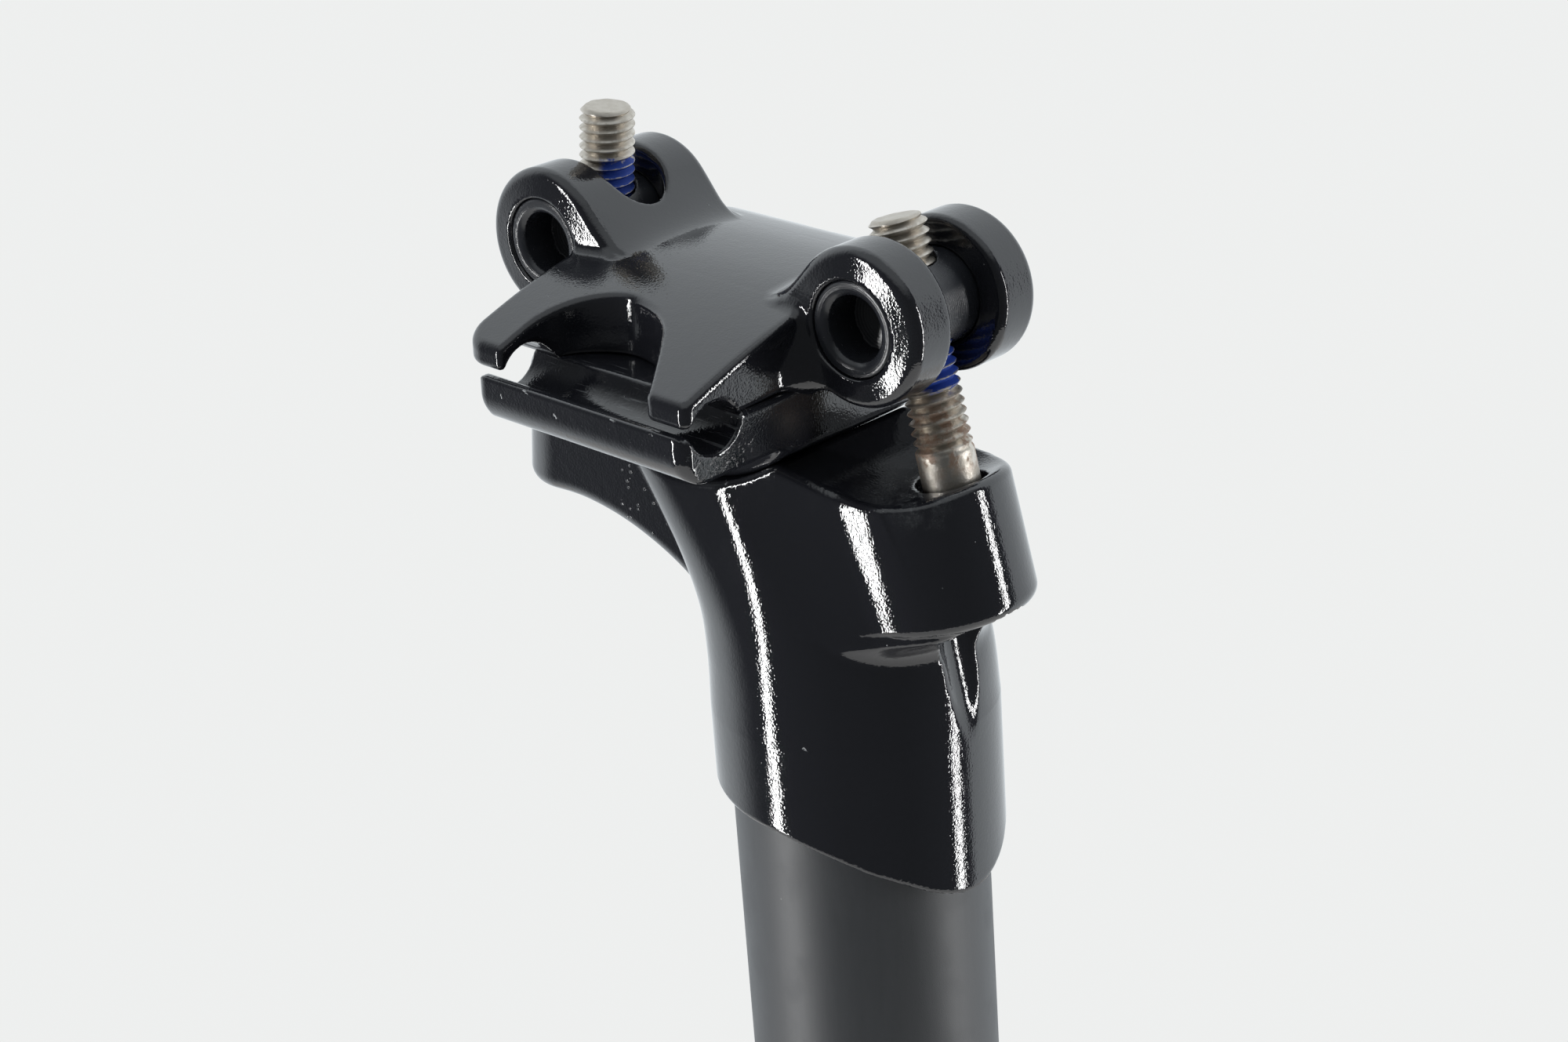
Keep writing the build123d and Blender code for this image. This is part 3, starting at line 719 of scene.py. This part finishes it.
def makeThreadTree():
    tree, take, give = startShape("boltThread", {
        "Length": 0.035, "Radius": 0.00295, "Pitch": 0.001, "Depth": 0.00056, "Plain": 0.01, "Tip": 0.0006,
        "Around": 40, "Per Turn": 8, "Place": (0, 0, 0), "Turn": (0, 0, 0)})
    length, pitch = take["Length"], take["Pitch"]
    turns = add(tree, calc(tree, "DIVIDE", length, pitch), 3.0)
    rows = calc(tree, "CEIL", mul(tree, turns, take["Per Turn"]))
    grid = addNode(tree, "GeometryNodeMeshGrid", {
        "Size X": 1.0, "Size Y": 1.0, "Vertices X": add(tree, take["Around"], 1.0),
        "Vertices Y": add(tree, rows, 1.0)})["Mesh"]
    spot = split(tree, addNode(tree, "GeometryNodeInputPosition")[0])
    lap = add(tree, spot["X"], 0.5)  # share of the way round
    row = calc(tree, "ROUND", mul(tree, add(tree, spot["Y"], 0.5), rows))
    climb = calc(tree, "DIVIDE", row, take["Per Turn"])
    along = mul(tree, add(tree, sub(tree, climb, 2.0), lap), pitch)

    # flank of the thread, then its start after the plain shank
    vee = calc(tree, "ABSOLUTE", sub(tree, mul(tree, calc(tree, "FRACT", climb), 2.0), 1.0))
    crest = calc(tree, "DIVIDE", sub(tree, vee, 0.125), 0.75, clamp=True)
    started = ramp(tree, along, take["Plain"], mulAdd(tree, pitch, 1.2, take["Plain"]))
    sunk = mul(tree, sub(tree, 1.0, crest), mul(tree, started, take["Depth"]))
    radius = sub(tree, take["Radius"], sunk)

    # chamfered tip, flat end and closed foot
    chamfer = sub(tree, take["Radius"], sub(tree, along, sub(tree, length, take["Tip"])))
    radius = calc(tree, "MINIMUM", radius, chamfer)
    over = calc(tree, "DIVIDE", sub(tree, along, length), pitch, clamp=True)
    capTop = mul(tree, sub(tree, take["Radius"], take["Tip"]), sub(tree, 1.0, over))
    isOver = calc(tree, "GREATER_THAN", along, length)
    radius = addNode(tree, "ShaderNodeMix", {0: isOver, 2: radius, 3: capTop}, data_type="FLOAT")[0]
    radius = mul(tree, radius, calc(tree, "ADD", calc(tree, "DIVIDE", along, pitch), 1.0, clamp=True))
    height = calc(tree, "MINIMUM", larger(tree, along, 0.0), length)
    angle = mul(tree, lap, math.tau)
    moved = addNode(tree, "ShaderNodeCombineXYZ", {
        "X": mul(tree, radius, calc(tree, "COSINE", angle)), "Y": mul(tree, radius, calc(tree, "SINE", angle)),
        "Z": height})[0]
    bent = addNode(tree, "GeometryNodeSetPosition", {"Geometry": grid, "Position": moved})[0]
    closed = addNode(tree, "GeometryNodeMergeByDistance", {0: bent, "Distance": 0.000004})[0]
    placed = addNode(tree, "GeometryNodeTransform", {
        "Geometry": closed, "Translation": take["Place"], "Rotation": take["Turn"]})[0]
    return endShape(tree, placed, take["Finish"], give)


threadTree = makeThreadTree()


def growMesh(name, tree, values, line=()):  # line is a closed run of points that the tree follows
    start = bpy.data.meshes.new(name + "Carrier")
    start.from_pydata([tuple(p) for p in line], [(i, (i + 1) % len(line)) for i in range(len(line))], [])
    carrier = addObject(start)
    grow = carrier.modifiers.new(tree.name, "NODES")
    grow.node_group = tree
    for item in tree.interface.items_tree:
        if item.in_out == "INPUT" and item.name in values:
            grow[item.identifier] = values[item.name]
    bpy.context.view_layer.update()
    mesh = bpy.data.meshes.new_from_object(carrier.evaluated_get(bpy.context.evaluated_depsgraph_get()))
    carrier.modifiers.remove(grow)
    bpy.data.objects.remove(carrier)
    mesh.name = name
    return mesh


def addBoltHead(shape, seat, turn, mid):
    s = boltShape
    count = s["headAround"]
    low, full, hexed = seat - s["headHeight"], s["headRadius"], s["hexHalf"]
    inside = low + s["hexDeep"]
    rings = [  # radius, radius in the knurl's valleys, height
        (2.6, 2.6, seat + 0.02), (3.85, 3.85, seat), (4.0, 4.0, seat - 0.08), (full, full, seat - 0.3),
        (full, full, seat - 0.7), (full, 4.0, seat - 0.8), (full, 4.0, low + 1.0), (full, full, low + 0.9),
        (full, full, low + 0.5), (4.05, 4.05, low + 0.25), (3.9, 3.9, low + 0.08), (3.65, 3.65, low),
        (2.55, 2.55, low), (2.35, 2.35, low + 0.02), (hexed, hexed, low + 0.3), (hexed, hexed, inside),
        (1.2, 1.2, inside + 0.25),
    ]
    stack = []
    for even, odd, height in rings:
        ring = []
        for i in range(count):
            a = math.tau * i / count
            r = even if (i // 2) % 2 == 0 else odd
            if even == hexed:
                r = even / math.cos((a + math.pi / 6) % (math.pi / 3) - math.pi / 6)
            ring.append(shape.verts.new(turn @ Vector((r * math.cos(a), r * math.sin(a), height)) * mm + mid))
        stack.append(ring)
    for upper, lower in zip(stack, stack[1:]):
        for i in range(count):
            j = (i + 1) % count
            shape.faces.new((upper[i], lower[i], lower[j], upper[j]))
    shape.faces.new(stack[0])
    shape.faces.new(stack[-1][::-1])


steel = {
    "colour": (0.66, 0.62, 0.56, 1), "grimeAndShade": (0.44, 0.40, 0.34, 1), "rust": (0.26, 0.125, 0.060, 1),
    "lock": (0.014, 0.060, 0.38, 1), "rough": 0.36, "relief": 0.000012,
}


def makeSteel(name, place, lockSpan, lockSide, rustSpan):
    material, tree, local = startMaterial(name, place)
    spot = split(tree, local)
    r = lengthOf(tree, spot["X"], spot["Y"])
    # painted shade: the thread valleys and the hex socket are coloured darker
    root = ramp(tree, r, 2.5, 2.85, 1.0, 0.0)
    grime = useGroup(tree, patchGroup, local, {"Scale": 1.3, "Spread": 0.5})
    peel = useGroup(tree, rippleGroup, local, {"Scale": 6.0, "Fine": 0.8})

    # thread lock on one side, worn off the crests
    level = mulAdd(tree, sub(tree, noise(tree, local, 0.9), 0.5), 2.2, spot["Z"])
    band = within(tree, level, *lockSpan, 0.2)
    side = ramp(tree, calc(tree, "DIVIDE", vecCalc(tree, "DOT_PRODUCT", local, lockSide), r), -0.2, 0.15)
    worn = ramp(tree, mulAdd(tree, grime, 0.06, r), 2.9, 2.97, 1.0, 0.15)
    lock = mul(tree, band, side, worn)

    rusty = useGroup(tree, patchGroup, local, {"Scale": 0.8, "Spread": 0.48})
    rustBand = within(tree, spot["Z"], *rustSpan, 1.0, 1.5)
    rust = mul(tree, rusty, rustBand, 0.65)
    # duller steel where the grime patches lie, plus painted shade in the thread valleys and hex socket
    metal = mixColour(tree, mul(tree, larger(tree, grime, root), 0.6), steel["colour"], steel["grimeAndShade"])
    stained = mixColour(tree, rust, metal, steel["rust"])
    cover = larger(tree, lock, mul(tree, rust, 0.8))
    dress(tree, {"Base Color": mixColour(tree, lock, stained, steel["lock"]), "Metallic": sub(tree, 1.0, cover),
                 "Roughness": mulAdd(tree, cover, 0.25, mulAdd(tree, grime, 0.1, steel["rough"]))},
          mulAdd(tree, rusty, mul(tree, rustBand, 1.5), peel), steel["relief"])
    return material


bolts = (
    {"node": "front_bolt", "washer": "front_washer", "name": "frontBolt", "mid": frontMid,
     "turn": layout["frontTurn"], "end": 8.8,
     "lock": (-8.3, 2.0), "lockSide": (0.7, 0.3, 0), "rust": (-16.5, -9.5)},
    {"node": "rear_bolt", "washer": "rear_washer", "name": "rearBolt", "mid": rearMid,
     "turn": layout["rearTurn"], "end": 13.0,
     "lock": (2.5, 7.8), "lockSide": (0.85, 0.53, 0), "rust": (-16.0, -9.0)},
)
clean = {"lock": (90, 91), "lockSide": (1, 0, 0), "rust": (-60, -20)}  # washers have no thread lock
for bolt in bolts:
    place = (bolt["mid"], bolt["turn"])
    finish = makeSteel(bolt["name"] + "Steel", place, bolt["lock"], bolt["lockSide"], bolt["rust"])
    seat = bolt["end"] - boltShape["length"]
    turn = Matrix.Rotation(math.radians(bolt["turn"]), 3, "Y")
    mid = Vector(bolt["mid"]) * mm
    values = {key.capitalize(): boltShape[key] * mm
              for key in ("length", "radius", "pitch", "depth", "plain", "tip")}
    values.update({"Around": boltShape["around"], "Per Turn": boltShape["perTurn"], "Finish": finish,
                   "Place": mid + turn @ Vector((0, 0, seat * mm)), "Turn": (0, math.radians(bolt["turn"]), 0)})
    boltMesh = growMesh(bolt["name"] + "Threaded", threadTree, values)
    shape = bmesh.new()
    shape.from_mesh(boltMesh)
    addBoltHead(shape, seat, turn, mid)
    bmesh.ops.recalc_face_normals(shape, faces=shape.faces)
    shape.to_mesh(boltMesh)
    shape.free()
    boltMesh.shade_smooth()
    boltMesh.set_sharp_from_angle(angle=math.radians(38))
    settle(addPiece(boltMesh, finish), bolt["node"])
    washerFinish = makeSteel(bolt["washer"] + "Steel", place, clean["lock"], clean["lockSide"], clean["rust"])
    repaint(frame["nodes"][bolt["washer"]].data, washerFinish)
    print("bolt grown:", bolt["name"], len(boltMesh.polygons), "faces")


# post tube, turned from rings, open below
tubeShape = {
    "radius": 13.6, "wall": 2.2, "length": 307.5, "chamfer": 0.5, "topEdge": 0.2, "around": 128, "rows": 64,
    "dark": (0.017, 0.021, 0.026, 1), "light": (0.029, 0.033, 0.040, 1),
    "rough": 0.42, "grain": 0.10, "rubbed": 0.04, "ior": 1.78, "relief": 0.000012,
}


def makeTube():
    s = tubeShape
    outer, length, chamfer, edge, n = s["radius"], s["length"], s["chamfer"], s["topEdge"], s["around"]
    inner = outer - s["wall"]
    heights = np.linspace(chamfer + 0.1, length - 0.3, s["rows"])
    rings = [(outer - chamfer, 0.0), (outer - 0.08, chamfer - 0.08), (outer, chamfer)]
    rings += [(outer, h) for h in heights]
    rings += [(outer, length - edge), (outer - edge, length), (inner + edge, length), (inner, length - edge)]
    rings += [(inner, h) for h in heights[::-8]]
    rings += [(inner, chamfer), (inner + 0.3, 0.0)]
    angles = np.linspace(0, math.tau, n, endpoint=False)
    points = [(r * math.cos(a) * mm, r * math.sin(a) * mm, h * mm) for r, h in rings for a in angles]
    faces = []
    for k in range(len(rings)):
        k2 = (k + 1) % len(rings)
        for i in range(n):
            j = (i + 1) % n
            faces.append((k * n + i, k * n + j, k2 * n + j, k2 * n + i))
    mesh = bpy.data.meshes.new("postTube")
    mesh.from_pydata(points, [], faces)
    mesh.validate()
    mesh.shade_smooth()
    mesh.set_sharp_from_angle(angle=math.radians(35))
    return mesh


def makeTubeFinish():
    material, tree, local = startMaterial("tubeSatin")
    grain = noise(tree, local, 7.0, 3.0, 0.6)
    streak = noise(tree, stretch(tree, local, (1.0, 1.0, 0.12)), 1.2, 3.0, 0.55)
    dust = useGroup(tree, specksGroup, local, {"Scale": 0.6, "Amount": 0.14, "Size": 0.06})
    rubbed = useGroup(tree, patchGroup, local, {"Scale": 0.12, "Spread": 0.45})
    shade = mixColour(tree, streak, tubeShape["dark"], tubeShape["light"])
    rough = mulAdd(tree, grain, tubeShape["grain"], tubeShape["rough"])
    dress(tree, {"Base Color": mixColour(tree, mul(tree, dust, 0.5), shade, paint["dustColour"]),
                 "Roughness": mulAdd(tree, rubbed, tubeShape["rubbed"], rough),
                 "IOR": tubeShape["ior"]}, grain, tubeShape["relief"])
    return material


tubePiece = addPiece(makeTube(), makeTubeFinish())
settle(tubePiece, "tube")
print("tube turned")


# adhesive line between tube and head, pale where it squeezed out
bondLook = {
    "dark": (0.05, 0.048, 0.042, 1), "pale": (0.46, 0.44, 0.36, 1), "dirt": (0.10, 0.09, 0.07, 1),
    "relief": 0.00005,
}


def makeBondFinish():
    material, tree, local = startMaterial("bondLine")
    patches = useGroup(tree, patchGroup, local, {"Scale": 0.35, "Spread": 0.55})
    fine = useGroup(tree, patchGroup, local, {"Scale": 1.6, "Spread": 0.5})
    shade = mixColour(tree, patches, bondLook["dark"], bondLook["pale"])
    dress(tree, {"Base Color": mixColour(tree, mul(tree, fine, 0.35), shade, bondLook["dirt"]),
                 "Roughness": mulAdd(tree, patches, 0.2, 0.4)}, fine, bondLook["relief"])
    return material


bondFinish = makeBondFinish()
repaint(frame["nodes"]["bond"].data, bondFinish)

beadShape = {
    "radius": 13.62, "bead": 0.30, "uneven": 0.6, "below": 0.42, "points": 160, "along": 700, "seed": 7.0,
}


def makeBeadTree():
    tree, take, give = startShape("bondBead", {"Bead": 0.0002, "Uneven": 0.5, "Seed": 7.0, "Points": 600})
    line = addNode(tree, "GeometryNodeMeshToCurve", {"Mesh": take["Geometry"]})[0]
    even = addNode(tree, "GeometryNodeResampleCurve", {"Curve": line, "Count": take["Points"]})[0]
    wander = addNode(tree, "ShaderNodeTexNoise", {
        "Vector": addNode(tree, "GeometryNodeInputPosition")[0], "W": take["Seed"], "Scale": 260.0},
        noise_dimensions="4D")["Fac"]
    swell = mulAdd(tree, sub(tree, wander, 0.5), mul(tree, take["Uneven"], 4.0), 1.0)
    girth = addNode(tree, "GeometryNodeSetCurveRadius", {"Curve": even, "Radius": larger(tree, swell, 0.2)})[0]
    ring = addNode(tree, "GeometryNodeCurvePrimitiveCircle", {"Resolution": 8, "Radius": take["Bead"]})[0]
    swept = addNode(tree, "GeometryNodeCurveToMesh", {
        "Curve": girth, "Profile Curve": ring, "Scale": addNode(tree, "GeometryNodeInputRadius")[0]})[0]
    return endShape(tree, swept, take["Finish"], give)


rimKnots = np.array(headShape["rim"], float).T
turns = np.linspace(0, math.tau, beadShape["points"], endpoint=False)
beadX, beadY = beadShape["radius"] * np.cos(turns), beadShape["radius"] * np.sin(turns)
beadLine = np.stack([beadX, beadY, easeCurve(beadX, *rimKnots) - beadShape["below"]], 1) * mm
beadMesh = growMesh("bondBead", makeBeadTree(), {
    "Bead": beadShape["bead"] * mm, "Uneven": beadShape["uneven"], "Seed": beadShape["seed"],
    "Points": beadShape["along"], "Finish": bondFinish}, beadLine)
bead = addPiece(beadMesh, bondFinish)
beadMesh.shade_smooth()
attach(bead, bodyOf["bond"])
print("bead laid:", len(beadMesh.polygons), "faces")


# floor, lamps, backdrop and camera
studio = {
    "floorRadius": 0.38, "floorDrop": 0.0006,
    "floorColour": (0.80, 0.80, 0.79, 1), "floorTone": (0.76, 0.76, 0.76, 1),
    "backdrop": (0.855, 0.865, 0.86, 1), "behind": (-0.69, 0.724, 0.0), "beside": (0.724, 0.69, 0.0),
    "pale": 1.0, "overhead": 0.60, "dark": 0.07, "tint": (0.93, 0.985, 1.02),
    "strips": [  # bearing, width, lowest, highest, radiance
        (-119.6, 0.072, -0.30, 0.62, 23.0),
        (31.0, 0.066, -0.30, 0.62, 16.0),
    ],
    "stripDistance": 0.80,
    "eye": (0.171654, -0.189053, 0.426999), "bearing": 43.598, "lift": 21.642, "roll": -4.235, "lens": 61.181,
}

floorMesh = bpy.data.meshes.new("floor")
shape = bmesh.new()
bmesh.ops.create_circle(shape, cap_ends=True, segments=128, radius=studio["floorRadius"])
bmesh.ops.translate(shape, verts=shape.verts, vec=(0, 0, -studio["floorDrop"]))
shape.to_mesh(floorMesh)
shape.free()
floorFinish, tree, local = startMaterial("floorPale")
tone = noise(tree, local, 0.02, 3.0)
dress(tree, {"Base Color": mixColour(tree, tone, studio["floorColour"], studio["floorTone"]), "Roughness": 0.7})
even = addNode(tree, "ShaderNodeEmission", {"Color": studio["floorColour"]})[0]  # what reflections see
paths = addNode(tree, "ShaderNodeLightPath")
mirrored = larger(tree, paths["Is Glossy Ray"], paths["Is Transmission Ray"])
lit = tree.nodes["Principled BSDF"].outputs[0]
blended = addNode(tree, "ShaderNodeMixShader", {"Fac": mirrored, 1: lit, 2: even})[0]
plug(tree, tree.nodes["Material Output"].inputs["Surface"], blended)
floor = addPiece(floorMesh, floorFinish)

for number, (bearing, width, low, high, glow) in enumerate(studio["strips"]):
    lamp = bpy.data.lights.new("strip%d" % number, "AREA")
    lamp.shape = "RECTANGLE"
    lamp.size, lamp.size_y = width, high - low
    lamp.energy = glow * math.pi * width * (high - low)
    lampPiece = addObject(lamp)
    a = math.radians(bearing)
    out = Vector((math.cos(a), math.sin(a), 0))
    lampPiece.location = out * studio["stripDistance"] + Vector((0, 0, (low + high) / 2))
    lampPiece.rotation_euler = (-out).to_track_quat("-Z", "Y").to_euler()
    lampPiece.visible_camera = False

world = bpy.data.worlds.new("studio")
bpy.context.scene.world = world
world.use_nodes = True
tree = world.node_tree
ray = addNode(tree, "ShaderNodeTexCoord")["Generated"]
toward = vecCalc(tree, "DOT_PRODUCT", ray, studio["behind"])
toSide = vecCalc(tree, "DOT_PRODUCT", ray, studio["beside"])
soft = ramp(tree, toward, -0.05, 0.5, studio["dark"], studio["pale"])  # pale behind, dark in front
edge = mul(tree, ramp(tree, toward, 0.0, 0.07), ramp(tree, toSide, -0.1, 0.3, 0.0, studio["pale"]))
ceiling = ramp(tree, split(tree, ray)["Z"], 0.45, 0.85, 0.0, studio["overhead"])
around = larger(tree, larger(tree, soft, edge), ceiling)
tinted = vecCalc(tree, "SCALE", studio["tint"], scale=around)
seen = addNode(tree, "ShaderNodeLightPath")["Is Camera Ray"]
plug(tree, tree.nodes["Background"].inputs["Color"], mixColour(tree, seen, tinted, studio["backdrop"]))

eye = bpy.data.cameras.new("photoView")
eye.sensor_width, eye.lens, eye.clip_start = 36.0, studio["lens"], 0.01
eyePiece = addObject(eye)
az, el, roll = (math.radians(studio[k]) for k in ("bearing", "lift", "roll"))
right = Vector((math.cos(az), math.sin(az), 0))
back = Vector((math.sin(az) * math.cos(el), -math.cos(az) * math.cos(el), math.sin(el)))
up = back.cross(right)
sideways = right * math.cos(roll) + up * math.sin(roll)
upright = up * math.cos(roll) - right * math.sin(roll)
facing = Matrix((sideways, upright, back)).transposed().to_4x4()
eyePiece.matrix_world = Matrix.Translation(studio["eye"]) @ facing
bpy.context.scene.camera = eyePiece
bpy.context.scene.view_settings.view_transform = "Standard"
print("studio set")
